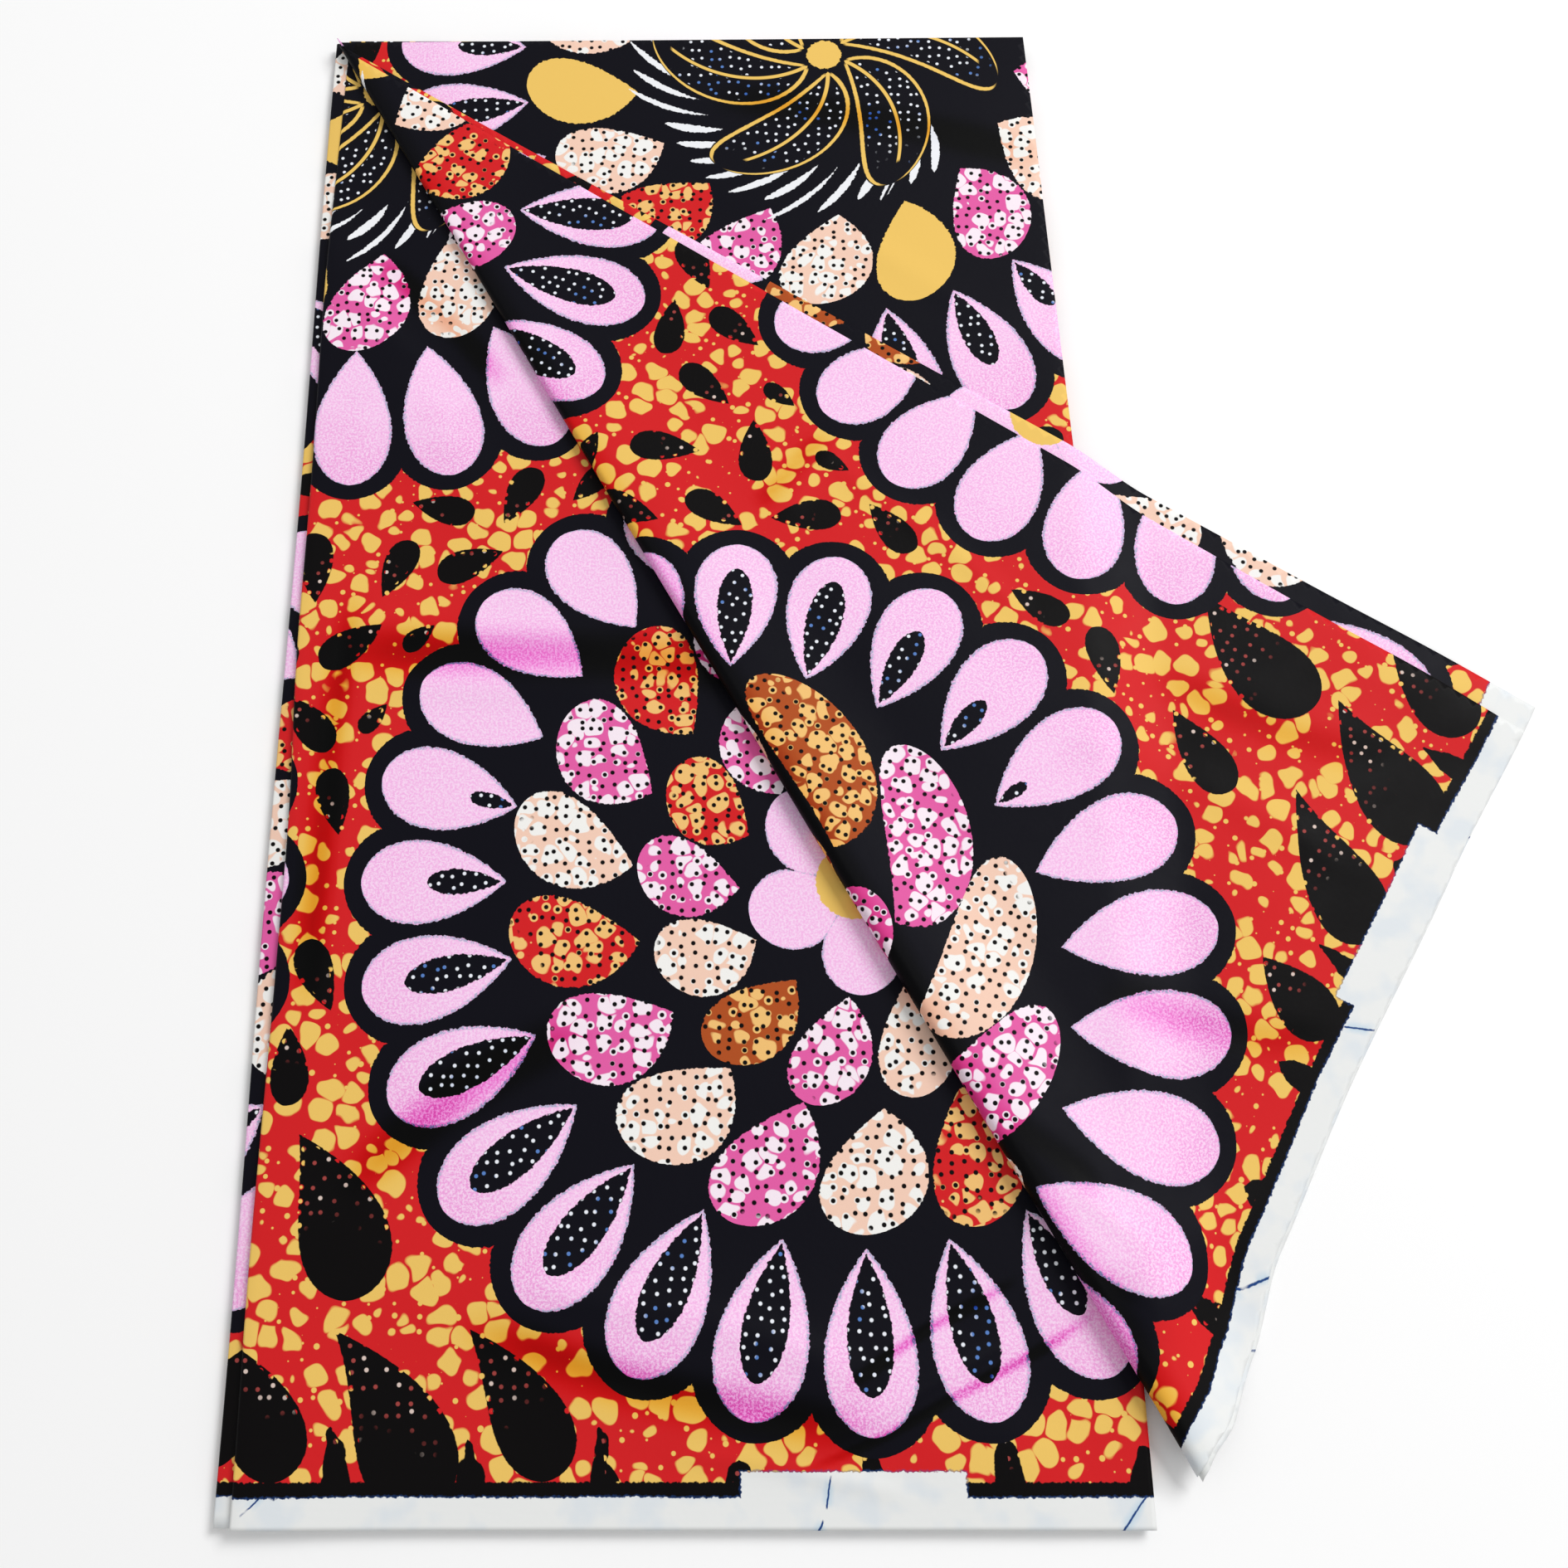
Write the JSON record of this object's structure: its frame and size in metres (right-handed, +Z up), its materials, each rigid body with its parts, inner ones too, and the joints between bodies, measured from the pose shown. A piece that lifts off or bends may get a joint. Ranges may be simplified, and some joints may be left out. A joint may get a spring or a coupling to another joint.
{
  "type": "folded wax print fabric",
  "caption": "Long piece of wax print cotton folded into a flat stack, its top panels turned back along a diagonal as a wide flap.",
  "frame": {"origin": "middle of the bounding box on the flat underside, where the cloth rests", "axes": "+X from the stack's left side towards the flap's corner, +Y along the stack from the near selvedge to the far one, +Z up"},
  "size_m": [0.9065, 1.1216, 0.028],
  "materials": {
    "print_dark": "crisp printed cotton, the edges of the folds under the top panels",
    "print_red": "crisp printed cotton, red crackled ground",
    "print_pink": "crisp printed cotton, pink and dark petals on red, soft wax sheen",
    "print_plum": "crisp printed cotton, the same print, soft wax sheen",
    "print_ochre": "crisp printed cotton, the same print, soft wax sheen"
  },
  "bodies": {
    "root": {"hidden_folds": "print_dark", "lower_panel": "print_red", "left_panel": "print_pink", "outer_panel": "print_plum", "inner_panel": "print_ochre"}
  },
  "joints": []
}
